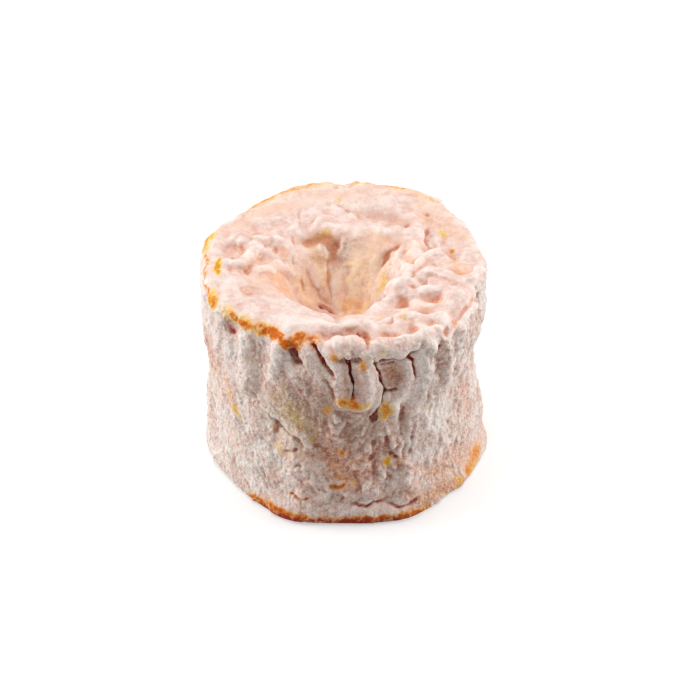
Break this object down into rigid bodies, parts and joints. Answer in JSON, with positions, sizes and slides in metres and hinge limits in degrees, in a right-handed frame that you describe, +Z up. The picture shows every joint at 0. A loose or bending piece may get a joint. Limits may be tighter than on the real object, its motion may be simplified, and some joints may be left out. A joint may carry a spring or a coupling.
{
  "type": "langres cheese wheel",
  "caption": "Small soft washed-rind cheese wheel with wrinkled sides, a rolled rim and a deep funnel sunk in its top.",
  "frame": {"origin": "on the resting face, under the middle of the wheel's outline", "axes": "+Z up out of the sunken top, -Y the side with the heaviest pleats, +X the side where the foot bulges"},
  "size_m": [0.0756, 0.0768, 0.0592],
  "materials": {
    "rind": "soft matte washed rind under a pale bloom"
  },
  "bodies": {
    "root": {"cheese_wheel": "rind"}
  },
  "joints": []
}
